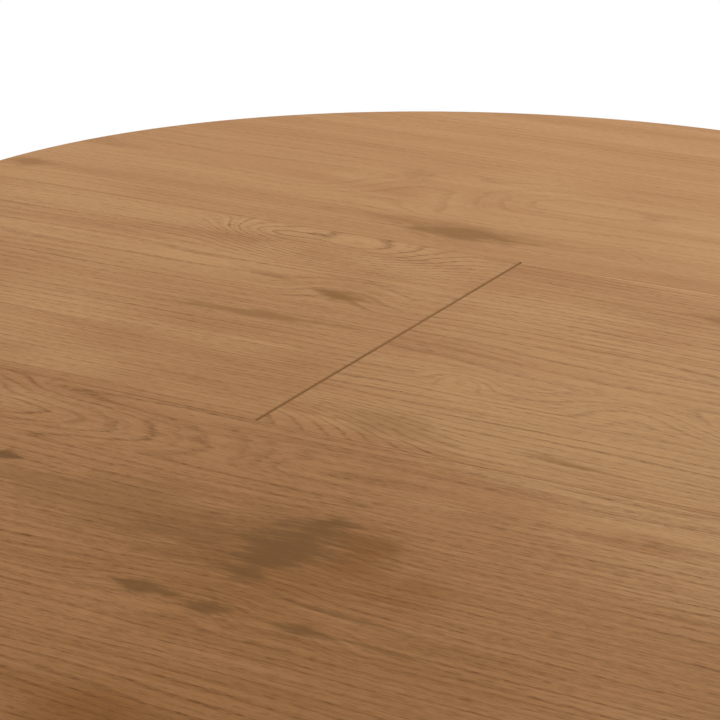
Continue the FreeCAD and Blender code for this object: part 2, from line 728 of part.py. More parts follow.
# Carriers: steel angles screwed under the right flap, with the arms' upper pins.
carrier_screw_shares = (0.06, 0.35, 0.65, 0.94)
leaf_pins = {"far": [], "near": []}
carrier_screws = {"far": [], "near": []}
for end, way in ends.items():
    for which in ("main", "idle"):
        along = f"{which}_leaf_y"
        low, high = either(way, "arm_x", "web_x + carrier_thick")
        shaft = rod(f"leaf_pin_{which}_{end}_shaft", "x", (low, along, "leaf_pivot_z"), "pin_radius",
                    f"({high}) - ({low})")
        low, high = either(way, "web_x + carrier_thick", "web_x + carrier_thick + pin_head_high")
        head = rod(f"leaf_pin_{which}_{end}_head", "x", (low, along, "leaf_pivot_z"),
                   "pin_head_radius", "pin_head_high")
        leaf_pins[end].append(fuse(f"leaf_pin_{which}_{end}", [shaft, head]))
    for share in carrier_screw_shares:
        along = f"0 - carrier_outer + {share} * (carrier_outer - carrier_inner)"
        name = f"carrier_screw_{end}_{round(share * 100)}"
        carrier_screws[end].append(upright_screw(name, f"{way} * (screw_x)", along, "flange_under",
                                                 "top_under + screw_bite"))
    reach = ("0 - carrier_outer", "0 - carrier_inner")
    web = box(f"carrier_web_{end}", either(way, "web_x", "web_x + carrier_thick"), reach,
              ("top_under - carrier_web", "top_under"))
    flange = box(f"carrier_flange_{end}", either(way, "web_x", "web_x + carrier_flange"), reach,
                 ("flange_under", "top_under"))
    blank = fuse(f"carrier_blank_{end}", [web, flange])
    finished(cut(f"carrier_{end}_cut", blank, [*leaf_pins[end], *carrier_screws[end]]),
             f"leaf_carrier_{end}")
finished(group("leaf_pins_group", leaf_pins["far"] + leaf_pins["near"]), "leaf_pins")
all_carrier_screws = carrier_screws["far"] + carrier_screws["near"]
finished(group("carrier_screws_group", all_carrier_screws), "carrier_screws")

# Concealed hinges: a barrel let into each flap's slit edge. The right one holds a tongue,
# and the left one has a slot that the tongue turns out of as the flap folds over.
hinge_spots = {"far": 1, "middle": 0, "near": -1}
right_barrels, left_bores = [], []
for spot, way in hinge_spots.items():
    across = f"{way} * hinge_x"
    up = "table_height - barrel_drop"
    barrel = rod(f"barrel_right_{spot}", "y", (across, "0 - slit_half - barrel_long", up),
                 "barrel_radius", "barrel_long")
    tongue = box(f"tongue_{spot}", (f"{across} - tongue_wide / 2", f"{across} + tongue_wide / 2"),
                 ("0 - slit_half - barrel_long / 2", "tongue_reach"),
                 ("table_height - tongue_top - tongue_thick", "table_height - tongue_top"))
    right_barrels.append(finished(fuse(f"hinge_right_{spot}_fuse", [barrel, tongue]),
                                  f"hinge_right_{spot}"))
    left = rod(f"barrel_left_{spot}", "y", (across, "slit_half", up), "barrel_radius", "barrel_long")
    half = "(tongue_wide / 2 + tongue_fit)"
    swing = "sqrt(tongue_reach ^ 2 + (tongue_top + tongue_thick + hinge_lift) ^ 2) + tongue_fit"
    slot = rod(f"hinge_slot_{spot}", "x", (f"{across} - {half}", "0", "table_height + hinge_lift"),
               swing, f"2 * {half}")
    lid = box(f"hinge_lid_{spot}", (f"{across} - barrel_radius", f"{across} + barrel_radius"),
              ("0 - top_radius / 2", "top_radius / 2"),
              ("table_height - tongue_top + tongue_fit", "table_height + top_thick"))
    sweep = cut(f"hinge_sweep_{spot}", slot, [lid])
    finished(cut(f"hinge_left_{spot}_cut", left, [sweep]), f"hinge_left_{spot}")
    left_bores.append(fuse(f"hinge_bore_{spot}", [left, sweep]))

right_tools = [*right_barrels, *all_carrier_screws]
finished(cut("right_flap_cut", flap_blank("right"), right_tools), "leaf_flap_right")
finished(cut("left_flap_cut", flap_blank("left"), left_bores), "leaf_flap_left")

doc.recompute()

for item in doc.Objects:
    faults = [state for state in item.State if state in ("Invalid", "Error")]
    if faults:
        raise SystemExit(f"{item.Label} ({item.Name}) failed: {faults}")
for item in made:
    if item.Shape.isNull() or not item.Shape.isValid():
        raise SystemExit(f"{item.Label} has no valid shape")
for item in made:
    item.Shape.exportStep(f"parts/{item.Label}.step")
print(f"{len(made)} sub-parts, arm length {number('arm_length'):.2f} mm")
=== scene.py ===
import json
import math
import bpy
from mathutils import Matrix, Vector


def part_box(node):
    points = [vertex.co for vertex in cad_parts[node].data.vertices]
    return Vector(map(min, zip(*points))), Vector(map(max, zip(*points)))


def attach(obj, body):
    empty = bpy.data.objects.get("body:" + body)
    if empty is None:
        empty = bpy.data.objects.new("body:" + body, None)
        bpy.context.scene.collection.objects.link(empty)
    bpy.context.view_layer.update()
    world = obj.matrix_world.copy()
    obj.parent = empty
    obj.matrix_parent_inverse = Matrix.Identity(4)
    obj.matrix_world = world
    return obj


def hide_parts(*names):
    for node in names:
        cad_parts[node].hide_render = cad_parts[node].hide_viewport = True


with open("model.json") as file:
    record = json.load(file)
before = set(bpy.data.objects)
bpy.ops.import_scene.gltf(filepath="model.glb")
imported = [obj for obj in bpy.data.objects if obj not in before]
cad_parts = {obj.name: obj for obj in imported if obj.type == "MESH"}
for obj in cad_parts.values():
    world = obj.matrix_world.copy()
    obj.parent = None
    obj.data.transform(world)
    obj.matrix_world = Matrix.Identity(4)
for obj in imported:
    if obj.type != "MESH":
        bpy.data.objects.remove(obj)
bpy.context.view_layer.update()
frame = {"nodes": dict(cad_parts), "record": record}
nodes = frame["nodes"]

# the photograph's eye
photoSide = 720  # pixels, both ways
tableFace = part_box("top_far")[1].z
eye = {
    "place": (-1.738, -0.833, 1.386),
    "heading": (0.8938, 0.4484, 0.0),
    "pitch": 18.666,  # degrees below level
    "roll": 1.73,
    "lens": 120.55,
    "film": 36.0,
}


def eyeAxes():
    heading = Vector(eye["heading"]).normalized()
    pitch = math.radians(eye["pitch"])
    roll = math.radians(eye["roll"])
    level = Vector((heading.y, -heading.x, 0.0))
    forward = heading * math.cos(pitch) - Vector((0, 0, math.sin(pitch)))
    above = heading * math.sin(pitch) + Vector((0, 0, math.cos(pitch)))
    right = level * math.cos(roll) + above * math.sin(roll)
    up = above * math.cos(roll) - level * math.sin(roll)
    return right, up, forward


def addCamera():
    right, up, forward = eyeAxes()
    data = bpy.data.cameras.new("eye")
    data.lens = eye["lens"]
    data.sensor_width = eye["film"]
    data.clip_start = 0.02
    data.clip_end = 200.0
    camera = bpy.data.objects.new("eye", data)
    bpy.context.scene.collection.objects.link(camera)
    turn = Matrix((right, up, -forward)).transposed().to_4x4()
    camera.matrix_world = Matrix.Translation(eye["place"]) @ turn
    bpy.context.scene.camera = camera


def onTable(pixel):  # the point of the table's face that the photograph shows at a pixel
    right, up, forward = eyeAxes()
    focal = eye["lens"] / eye["film"] * photoSide
    aside = (pixel[0] - photoSide / 2) / focal
    rise = (photoSide / 2 - pixel[1]) / focal
    ray = forward + right * aside + up * rise
    start = Vector(eye["place"])
    return start + ray * ((tableFace - start.z) / ray.z)


addCamera()
print("camera: placed")


class Wire:  # a socket that takes part in sums
    def __init__(self, finish, socket):
        self.finish = finish
        self.socket = socket

    def sums(self, operation, *values, clamp=False):
        inputs = dict(enumerate(values))
        return self.finish.node("ShaderNodeMath", {"operation": operation, "use_clamp": clamp}, inputs)

    def other(self, output):  # another output of the same node
        return Wire(self.finish, self.socket.node.outputs[output])

    def __add__(self, value):
        return self.sums("ADD", self, value)

    def __radd__(self, value):
        return self.sums("ADD", value, self)

    def __sub__(self, value):
        return self.sums("SUBTRACT", self, value)

    def __rsub__(self, value):
        return self.sums("SUBTRACT", value, self)

    def __mul__(self, value):
        return self.sums("MULTIPLY", self, value)

    def __rmul__(self, value):
        return self.sums("MULTIPLY", value, self)

    def __truediv__(self, value):
        return self.sums("DIVIDE", self, value)

    def __rtruediv__(self, value):
        return self.sums("DIVIDE", value, self)

    def __pow__(self, value):
        return self.sums("POWER", self, value)

    def __abs__(self):
        return self.sums("ABSOLUTE", self)

    def __gt__(self, value):
        return self.sums("GREATER_THAN", self, value)

    def fraction(self):
        return self.sums("FRACT", self)

    def clamped(self):
        return self.sums("ADD", self, 0.0, clamp=True)

    def ramp(self, low, high, first=0.0, last=1.0):  # eased from first to last between low and high
        return self.finish.node(
            "ShaderNodeMapRange",
            {"interpolation_type": "SMOOTHSTEP"},
            {"Value": self, "From Min": low, "From Max": high, "To Min": first, "To Max": last},
        )


def tone(red, green, blue):  # a colour as a picture shows it, 0 to 255
    def linear(part):
        part = part / 255
        return part / 12.92 if part <= 0.04045 else ((part + 0.055) / 1.055) ** 2.4

    return (linear(red), linear(green), linear(blue), 1.0)


class Tree:
    def node(self, kind, settings=None, inputs=None, output=0):
        made = self.tree.nodes.new(kind)
        for key, value in (settings or {}).items():
            setattr(made, key, value)
        for key, value in (inputs or {}).items():
            for one in value if isinstance(value, list) else [value]:
                if isinstance(one, Wire):
                    self.tree.links.new(one.socket, made.inputs[key])
                else:
                    made.inputs[key].default_value = one
        return Wire(self, made.outputs[output]) if made.outputs else None

    def vector(self, x=0.0, y=0.0, z=0.0):
        return self.node("ShaderNodeCombineXYZ", {}, {0: x, 1: y, 2: z})

    def axes(self, vector):
        x = self.node("ShaderNodeSeparateXYZ", {}, {0: vector})
        return x, x.other(1), x.other(2)


class Finish(Tree):
    def __init__(self, name):
        self.material = bpy.data.materials.new(name)
        self.material.use_nodes = True
        self.tree = self.material.node_tree
        self.tree.nodes.clear()

    def place(self):
        return self.node("ShaderNodeTexCoord", output="Object")

    def scaled(self, vector, scale, shift=(0.0, 0.0, 0.0)):
        inputs = {0: vector, 1: scale, 2: shift}
        return self.node("ShaderNodeVectorMath", {"operation": "MULTIPLY_ADD"}, inputs)

    def turnedFrom(self, place, middle, turn):  # measured from a middle, and turned about Z
        inputs = {0: place, 1: tuple(middle)}
        centred = self.node("ShaderNodeVectorMath", {"operation": "SUBTRACT"}, inputs)
        if not turn:
            return centred
        inputs = {"Vector": centred, "Angle": turn}
        return self.node("ShaderNodeVectorRotate", {"rotation_type": "Z_AXIS"}, inputs)

    def noise(self, vector, scale, shift=(0.0, 0.0, 0.0), detail=2.0, rough=0.5):
        spot = self.scaled(vector, scale, shift)
        inputs = {"Vector": spot, "Scale": 1.0, "Detail": detail, "Roughness": rough}
        return self.node("ShaderNodeTexNoise", {}, inputs)

    def mix(self, share, first, second):  # colours
        settings = {"data_type": "RGBA", "clamp_factor": True}
        return self.node("ShaderNodeMix", settings, {0: share, 6: first, 7: second}, output=2)

    def bump(self, height, distance, strength=1.0):
        inputs = {"Height": height, "Distance": distance, "Strength": strength}
        return self.node("ShaderNodeBump", {}, inputs)

    def surface(self, **inputs):
        names = {
            "colour": "Base Color",
            "roughness": "Roughness",
            "metal": "Metallic",
            "gloss": "Specular IOR Level",
            "sheen": "Sheen Weight",
            "glow": "Subsurface Weight",
            "normal": "Normal",
        }
        named = {names[key]: value for key, value in inputs.items()}
        shader = self.node("ShaderNodeBsdfPrincipled", {}, named)
        self.node("ShaderNodeOutputMaterial", {}, {0: shader})
        return self.material


def dress(finish, *names):  # a CAD node's solid gets this finish
    for name in names:
        mesh = nodes[name].data
        mesh.materials.clear()
        mesh.materials.append(finish)


# oak veneer
veneer = {
    # the solid lip's colour, paler than the top, partly painted light on the slit's shaded walls; also the
    # painted highlight's colour
    "lip": tone(212, 170, 118),
    "pale": tone(195, 148, 99),
    "mid": tone(177, 127, 80),
    "brown": tone(146, 96, 48),
    "line": tone(106, 64, 28),
    "stain": tone(140, 96, 46),
    "mark": tone(118, 80, 38),
    "roughness": 0.5,
    "gloss": 0.04,
}

# Where the photograph shows it: marks, glows and eyes run from one pixel to another, and are wide in metres.
# A mark darkens the wood. A glow lightens it, or darkens it where its light is below 0: the glows are partly
# the wood's own tone and partly painted light and painted shade, lighter towards the far side and darker
# towards the near side.
# An eye lifts the growth rings so that they close around it, and where it says drawn, they show more strongly
# there.
panels = {
    "top_far": {
        "seed": 3.1,
        "heart": 0.45,
        "spread": 0.10,
        "rings": 104.0,
        "sway": 2.6,
        "shade": 0.26,
        "lines": 0.22,
        "hatch": 0.22,
        "tint": "stain",
        "soft": 0.35,
        "marks": [
            {"from": (310, 205), "to": (632, 257), "wide": 0.055, "dark": 0.36},
            {"from": (380, 222), "to": (544, 247), "wide": 0.060, "dark": 0.85},
            {"from": (390, 172), "to": (440, 177), "wide": 0.040, "dark": 0.3},
            {"from": (4, 158), "to": (56, 165), "wide": 0.050, "dark": 0.6},
        ],
        "glows": [
            {"from": (-40, 190), "to": (120, 180), "wide": 0.30, "light": 0.16},
            {"from": (460, 205), "to": (760, 235), "wide": 0.16, "light": 0.16},
            {"from": (480, 176), "to": (610, 190), "wide": 0.12, "light": 0.14},
            {"from": (330, 174), "to": (392, 182), "wide": 0.08, "light": 0.12},
            {"from": (650, 240), "to": (800, 272), "wide": 0.10, "light": 0.20},
            {"from": (416, 193), "to": (470, 205), "wide": 0.05, "light": 0.22},
        ],
        "eyes": [
            {"from": (320, 196), "to": (520, 190), "wide": 0.12, "lift": 3.0},
            {"from": (590, 252), "to": (650, 258), "wide": 0.05, "lift": 1.6},
        ],
    },
    "leaf_flap_left": {
        "seed": 11.7,
        # painted shade along both edges of the slit
        "joint": {"from": 0.0014, "to": 0.0027, "dark": 0.3},
        "heart": 0.10,
        "spread": 0.05,
        "rings": 88.0,
        "sway": 1.8,
        "shade": 0.30,
        "lines": 0.38,
        "hatch": 0.26,
        "tint": "stain",
        "soft": 0.3,
        "marks": [
            {"from": (310, 289), "to": (372, 302), "wide": 0.040, "dark": 0.95},
            {"from": (318, 288), "to": (398, 308), "wide": 0.060, "dark": 0.3},
            {"from": (140, 296), "to": (375, 331), "wide": 0.026, "dark": 0.66},
            {"from": (228, 262), "to": (310, 287), "wide": 0.020, "dark": 0.35},
        ],
        "glows": [
            {"from": (200, 214), "to": (500, 262), "wide": 0.04, "light": 0.3},
            {"from": (-60, 184), "to": (240, 224), "wide": 0.09, "light": 0.36},
            {"from": (60, 244), "to": (340, 268), "wide": 0.12, "light": 0.24},
            {"from": (380, 280), "to": (460, 300), "wide": 0.08, "light": 0.2},
            {"from": (-40, 300), "to": (120, 310), "wide": 0.25, "light": 0.2},
            {"from": (-80, 348), "to": (290, 424), "wide": 0.03, "light": -0.22},
            {"from": (10, 350), "to": (130, 372), "wide": 0.06, "light": 0.22},
            {"from": (266, 350), "to": (352, 368), "wide": 0.05, "light": -0.22},
            {"from": (130, 312), "to": (310, 336), "wide": 0.06, "light": -0.14},
            {"from": (336, 256), "to": (484, 284), "wide": 0.04, "light": 0.34},
            {"from": (-40, 220), "to": (90, 240), "wide": 0.06, "light": 0.30},
            {"from": (256, 242), "to": (302, 252), "wide": 0.04, "light": 0.26},
        ],
        "eyes": [
            {"from": (216, 222), "to": (306, 238), "wide": 0.06, "lift": 3.0, "drawn": 0.4},
            {"from": (252, 232), "to": (440, 266), "wide": 0.12, "lift": 6.5, "drawn": 0.6},
            {"from": (290, 284), "to": (390, 304), "wide": 0.07, "lift": 1.8, "drawn": 0.3},
        ],
    },
    "leaf_flap_right": {
        "seed": 23.4,
        # painted shade along both edges of the slit
        "joint": {"from": 0.0014, "to": 0.0027, "dark": 0.3},
        # painted highlight: a pale strip along the far seam, where the edge catches the light
        "seamHighlight": {"edge": 0.2497, "wide": 0.0036, "soft": 0.0005, "light": 0.4},  # pale, at the far seam
        "heart": -0.06,
        "spread": 0.05,
        "rings": 88.0,
        "sway": 2.0,
        "shade": 0.31,
        "lines": 0.45,
        "hatch": 0.22,
        "tint": "stain",
        "soft": 0.3,
        "marks": [
            {"from": (690, 314), "to": (750, 328), "wide": 0.03, "dark": 0.6},
            {"from": (492, 445), "to": (640, 482), "wide": 0.014, "dark": 0.55},
            {"from": (310, 396), "to": (470, 452), "wide": 0.07, "dark": 0.42},
            {"from": (552, 291), "to": (704, 323), "wide": 0.012, "dark": 0.35},
        ],
        "glows": [
            {"from": (340, 400), "to": (860, 425), "wide": 0.30, "light": 0.38},
            {"from": (640, 350), "to": (780, 370), "wide": 0.20, "light": 0.14},
            {"from": (420, 330), "to": (640, 310), "wide": 0.16, "light": 0.26},
            {"from": (600, 430), "to": (900, 480), "wide": 0.14, "light": 0.34},
            {"from": (220, 411), "to": (500, 468), "wide": 0.03, "light": -0.24},
            {"from": (600, 270), "to": (780, 308), "wide": 0.08, "light": 0.32},
            {"from": (640, 478), "to": (780, 506), "wide": 0.06, "light": 0.42},
            {"from": (450, 424), "to": (800, 474), "wide": 0.09, "light": 0.22},
            {"from": (560, 336), "to": (672, 356), "wide": 0.03, "light": 0.36},
            {"from": (268, 399), "to": (334, 416), "wide": 0.03, "light": -0.26},
        ],
        "eyes": [
            {"from": (60, 370), "to": (415, 440), "wide": 0.13, "lift": 8.0},
            {"from": (430, 372), "to": (494, 390), "wide": 0.04, "lift": 1.6},
            {"from": (560, 396), "to": (720, 436), "wide": 0.07, "lift": 2.6},
        ],
    },
    "top_near": {
        "seed": 37.9,
        "heart": -0.30,
        "spread": 0.05,
        "rings": 88.0,
        "sway": 2.0,
        # this darker shade is partly the wood's tone and partly painted shade, as the light falls off towards
        # the near side
        "shade": 0.50,
        "lines": 0.50,
        "hatch": 0.32,
        "tint": "mark",
        "soft": 0.45,
        "marks": [
            # the first two broad marks are partly the wood and partly painted shade towards the near side
            {"from": (-60, 452), "to": (330, 560), "wide": 0.10, "dark": 0.30},
            {"from": (90, 530), "to": (420, 548), "wide": 0.13, "dark": 0.34},
            {"from": (222, 584), "to": (352, 512), "wide": 0.080, "dark": 0.85},
            {"from": (314, 520), "to": (376, 530), "wide": 0.022, "dark": 0.7},
            {"from": (94, 574), "to": (182, 596), "wide": 0.026, "dark": 0.8},
            {"from": (176, 604), "to": (244, 610), "wide": 0.032, "dark": 0.8},
            {"from": (262, 622), "to": (340, 640), "wide": 0.022, "dark": 0.8},
            {"from": (-18, 450), "to": (22, 458), "wide": 0.020, "dark": 0.9},
            {"from": (240, 588), "to": (440, 644), "wide": 0.008, "dark": 0.5},
            {"from": (330, 636), "to": (440, 668), "wide": 0.008, "dark": 0.5},
        ],
        "glows": [
            {"from": (500, 480), "to": (920, 590), "wide": 0.20, "light": 0.44},
            {"from": (-100, 376), "to": (120, 416), "wide": 0.08, "light": 0.26},
            {"from": (40, 520), "to": (420, 545), "wide": 0.20, "light": -0.20},
            {"from": (190, 574), "to": (430, 586), "wide": 0.12, "light": -0.20},
            {"from": (320, 530), "to": (410, 552), "wide": 0.06, "light": -0.26},
            {"from": (-30, 424), "to": (210, 442), "wide": 0.05, "light": 0.16},
            {"from": (640, 470), "to": (960, 560), "wide": 0.24, "light": 0.34},
            {"from": (610, 570), "to": (960, 650), "wide": 0.12, "light": 0.22},
            {"from": (60, 384), "to": (290, 432), "wide": 0.024, "light": 0.2},
            {"from": (380, 452), "to": (660, 510), "wide": 0.034, "light": 0.34},
            # painted shade: darker towards the bottom of the near half, where the light falls off
            {"from": (-300, 760), "to": (520, 760), "wide": 0.50, "light": -0.26},
            {"from": (590, 534), "to": (710, 556), "wide": 0.04, "light": -0.34},
            {"from": (376, 576), "to": (490, 604), "wide": 0.12, "light": -0.20},
            {"from": (384, 496), "to": (470, 514), "wide": 0.04, "light": 0.20},
            {"from": (60, 584), "to": (150, 610), "wide": 0.08, "light": 0.14},
            {"from": (540, 700), "to": (760, 750), "wide": 0.10, "light": 0.26},
            {"from": (330, 552), "to": (396, 568), "wide": 0.06, "light": -0.26},
            {"from": (20, 704), "to": (130, 734), "wide": 0.09, "light": -0.20},
        ],
        "eyes": [
            {"from": (-420, 310), "to": (215, 446), "wide": 0.085, "lift": 7.0},
            {"from": (-90, 362), "to": (40, 386), "wide": 0.05, "lift": 2.0},
            {"from": (80, 572), "to": (196, 600), "wide": 0.05, "lift": 1.2},
            {"from": (166, 600), "to": (256, 616), "wide": 0.05, "lift": 1.2},
            {"from": (252, 618), "to": (352, 644), "wide": 0.05, "lift": 1.2},
            {"from": (200, 600), "to": (370, 506), "wide": 0.12, "lift": 1.4},
        ],
    },
}


# The pattern that the four faces share. Each noise has its scale per metre, across and along the grain, where
# it starts (times the face's seed), and the values between which it fades in.
pattern = {
    "drift": {"scale": (7.0, 1.6, 0.0), "start": (1, 1.7, 0.3), "detail": 1.0},
    "sway": {"scale": (11.0, 1.9, 0.0), "start": (1, 1.7, 0.3), "rough": 0.45},
    "ripple": {"scale": (60.0, 12.0, 0.0), "start": (1, 1.7, 0.3)},
    "ragged": {"scale": (230.0, 34.0, 0.0), "start": (1, 1.7, 0.3), "detail": 3.0, "rough": 0.7},
    "lumps": {"scale": (60.0, 26.0, 0.0), "start": (1, 1.7, 0.3), "detail": 1.0},
    "patches": {"scale": (12.0, 1.8, 0.0), "start": (2, 1, 0), "fade": (0.34, 0.66)},
    "bands": {"scale": (20.0, 0.9, 0.0), "start": (3, 1, 0)},
    "streaks": {"scale": (150.0, 6.0, 0.0), "start": (1, 4, 0), "rough": 0.6},
    "threads": {"scale": (290.0, 9.0, 0.0), "start": (1, 7, 0), "rough": 0.6, "fade": (0.44, 0.62)},
    "dashes": {"scale": (760.0, 90.0, 0.0), "start": (1, 5, 0), "rough": 0.7, "fade": (0.44, 0.60)},
    "pores": {"scale": (1100.0, 120.0, 0.0), "start": (1, 6, 0), "detail": 1.0, "fade": (0.56, 0.70)},
}
drawing = {
    "wander": 0.03,  # metres that the rings drift across the grain
    "ripple": 0.4,
    "ragged": 1.5,  # how far a mark's outline is torn
    "lumpy": 1.1,
    "markEdge": 1.25,
    "glowEdge": 1.5,
    "eyeEdge": 1.5,
    "fineRings": 1.7,  # to each broad one
    "bandShade": 0.7,
    "streakShade": 0.35,
    "relief": 0.00006,
    "roughLines": 0.12,
}
strength = {  # of the dark lines
    "everywhere": 0.22,
    "patches": 0.55,
    "fine": 0.42,
    "fineInPatches": 0.12,
    "threads": 0.42,
    "dashes": 0.55,
    "pores": 0.05,
    "poresInRings": 0.12,
}
lip = {  # the solid lip on the top's walls, paler than the top: partly its own colour and partly painted light in the slit
    "seam": 0.25,
    "rim": 0.625,
    "curvedFrom": 0.60,  # walls beyond this, measured from a half's own centre, are on the round rim
    "steep": 0.5,
    "scale": (5.0, 380.0, 1.0),
    "fade": (0.3, 0.7),
}


def markPlace(finish, place, mark):  # the mark's own axes, 1 at its ends and sides
    first, last = onTable(mark["from"]), onTable(mark["to"])
    middle = (first + last) / 2
    run = last - first
    turn = math.atan2(run.y, run.x)
    sizes = (2 / run.length, 2 / mark["wide"], 0.0)
    return finish.scaled(finish.turnedFrom(place, middle, -turn), sizes)


def ovalDistance(finish, place, mark):  # 0 at a mark's middle, 1 on its outline
    shaped = markPlace(finish, place, mark)
    return finish.node("ShaderNodeVectorMath", {"operation": "LENGTH"}, {0: shaped}, output="Value")


def spindleDistance(finish, place, mark):  # the same with pointed ends
    along, aside, none = finish.axes(markPlace(finish, place, mark))
    return abs(along) + abs(aside)


def ringPulse(height):  # dark where a growth ring starts, fading until the next
    cycle = height.fraction()
    return cycle.ramp(0.0, 0.34, 1.0, 0.0) + cycle.ramp(0.90, 1.0, 0.0, 1.0)


def patternNoise(finish, place, look, seed):
    start = tuple(seed * times for times in look["start"])
    made = finish.noise(place, look["scale"], start, look.get("detail", 2.0), look.get("rough", 0.5))
    return made.ramp(*look["fade"]) if "fade" in look else made


# the walls' colour: the lip's grain, and partly painted light inside the slit
def lipColour(finish, x, y, z, seed):  # its grain runs along the edge
    centred = abs(x) - lip["seam"]
    curved = (centred * centred + y * y) ** 0.5 > lip["curvedFrom"]
    arc = finish.node("ShaderNodeMath", {"operation": "ARCTAN2"}, {0: y, 1: centred}) * lip["rim"]
    along = arc * curved + (x + y) * (1 - curved)
    grain = finish.noise(finish.vector(along, z, seed), lip["scale"], detail=3.0, rough=0.6)
    return finish.mix(grain.ramp(*lip["fade"]), veneer["lip"], veneer["pale"])


def veneerFinish(name, panel):
    finish = Finish("oakVeneer_" + name)
    place = finish.place()
    x, y, z = finish.axes(place)
    seed = panel["seed"]
    noises = {key: patternNoise(finish, place, look, seed) for key, look in pattern.items()}
    drift, sway, ripple = noises["drift"] - 0.5, noises["sway"] - 0.5, noises["ripple"] - 0.5
    ragged = (noises["ragged"] - 0.5) * drawing["ragged"]
    lumps = (noises["lumps"] - 0.5) * drawing["lumpy"]

    # growth rings: contour lines of a long hill
    offset = x + drift * drawing["wander"] - panel["heart"]
    slope = (offset * offset + panel["spread"] ** 2) ** 0.5
    height = slope * panel["rings"] + sway * panel["sway"] * 2 + ripple * drawing["ripple"]
    figure = strength["everywhere"]
    for eyeMark in panel["eyes"]:
        near = ovalDistance(finish, place, eyeMark) + drift * 0.8 + ripple * 0.2
        height = height + near.ramp(0.0, drawing["eyeEdge"], eyeMark["lift"], 0.0)
        if "drawn" in eyeMark:  # less in its middle
            outer = near.ramp(0.1, 0.6, 0.0, eyeMark["drawn"])
            figure = outer * near.ramp(0.8, drawing["eyeEdge"], 1.0, 0.0) + figure
    rings = ringPulse(height + ragged * 0.07)
    fineRings = ringPulse(height * drawing["fineRings"] + ragged * 0.12)

    # tone: the wood's own, with the glows' painted light and painted shade
    bands, streaks = noises["bands"] - 0.5, noises["streaks"] - 0.5
    shade = panel["shade"] + bands * drawing["bandShade"] + streaks * drawing["streakShade"]
    # each glow is partly the wood's tone and partly painted light or painted shade
    for glow in panel["glows"]:
        near = ovalDistance(finish, place, glow) + ragged * 0.3
        shade = shade - near.ramp(0.0, drawing["glowEdge"], glow["light"], 0.0)
    colour = finish.mix(shade.ramp(0.0, 0.5), veneer["pale"], veneer["mid"])
    colour = finish.mix(shade.ramp(0.5, 1.0), colour, veneer["brown"])

    # dark lines
    patches, dashes, pores = noises["patches"], noises["dashes"], noises["pores"]
    broad = rings * (patches * strength["patches"] + figure)
    fine = fineRings * ((1 - patches) * strength["fine"] + strength["fineInPatches"])
    drawn = broad + fine + noises["threads"] * strength["threads"]
    drawn = drawn * (dashes * 0.5 + 0.6) * panel["lines"] + dashes * panel["hatch"] * strength["dashes"]
    lines = drawn + pores * (strength["pores"] + rings * strength["poresInRings"])
    colour = finish.mix(lines.clamped(), colour, veneer["line"])

    if "joint" in panel:  # painted shade: the two edges of the slit are darkened, as by the shadow in the gap
        joint = panel["joint"]
        slitShading = abs(y).ramp(joint["from"], joint["to"], joint["dark"], 0.0)
        colour = finish.mix(slitShading, colour, veneer["mark"])
    # painted highlight along the far seam, mixed towards the lip's colour
    if "seamHighlight" in panel:
        seamHighlight = panel["seamHighlight"]
        start, soft = seamHighlight["edge"] - seamHighlight["wide"], seamHighlight["soft"]
        pale = x.ramp(start - soft, start + soft, 0.0, seamHighlight["light"])
        colour = finish.mix(pale, colour, veneer["lip"])
    for mark in panel["marks"]:
        near = spindleDistance(finish, place, mark) + ragged + lumps
        dark = near.ramp(panel["soft"], drawing["markEdge"], mark["dark"], 0.0)
        colour = finish.mix(dark, colour, veneer[panel["tint"]])

    # walls take the lip's colour, which is partly painted light in the slit
    facing = finish.node("ShaderNodeNewGeometry", output="Normal")
    steep = 1 - (abs(finish.axes(facing)[2]) > lip["steep"])
    colour = finish.mix(steep, colour, lipColour(finish, x, y, z, seed))
    return finish.surface(
        colour=colour,
        roughness=veneer["roughness"] + lines * drawing["roughLines"],
        gloss=veneer["gloss"],
        normal=finish.bump(lines * -1.0, drawing["relief"], 0.5),
    )


for name, panel in panels.items():
    dress(veneerFinish(name, panel), name)
print("veneer: four faces")


# solid oak, its rings round each piece's own heart
solid = {
    "pale": tone(190, 144, 96),
    "brown": tone(160, 113, 69),
    "line": tone(118, 78, 44),
    "rough": 0.5,
    "ring": 0.0042,  # metres between growth rings
    "wander": 0.012,  # metres that the rings drift
    "relief": 0.00008,
    "gloss": 0.35,
}
stickPattern = {
    "bend": {"scale": (9.0, 9.0, 1.4), "start": (1, 0.7, 1.3)},
    "streaks": {"scale": (160.0, 160.0, 5.0), "start": (1, 0.7, 1.3), "detail": 3.0, "rough": 0.65},
    "bands": {"scale": (16.0, 16.0, 1.6), "start": (1, 0.7, 1.3)},
    "pores": {"scale": (900.0, 900.0, 50.0), "start": (1, 0.7, 1.3), "detail": 1.0, "fade": (0.56, 0.68)},
}


def solidOak(name, grain, heart, turn=0.0, seed=0.0, plain=0.0):
    finish = Finish("oak_" + name)
    x, y, z = finish.axes(finish.turnedFrom(finish.place(), heart, turn))
    first, second, along = {"x": (y, z, x), "y": (z, x, y), "z": (x, y, z)}[grain]
    stick = finish.vector(first, second, along)
    noises = {key: patternNoise(finish, stick, look, seed) for key, look in stickPattern.items()}
    bands, streaks, pores = noises["bands"] - 0.5, noises["streaks"] - 0.5, noises["pores"]
    radius = (first * first + second * second) ** 0.5 + (noises["bend"] - 0.5) * solid["wander"]
    cycle = (radius / solid["ring"]).fraction()
    early = 1 - cycle.ramp(0.0, 0.45)
    shade = (0.45 + bands * 1.1 + streaks * 0.7 + plain).clamped()
    colour = finish.mix(shade, solid["pale"], solid["brown"])
    lines = early * 0.34 + pores * (0.12 + early * 0.2)
    colour = finish.mix(lines.clamped(), colour, solid["line"])
    return finish.surface(
        colour=colour,
        roughness=solid["rough"] + lines * 0.15,
        gloss=solid["gloss"],
        normal=finish.bump(lines * -1.0, solid["relief"], 0.5),
    )


def middle(name):
    low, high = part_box(name)
    return (low + high) / 2


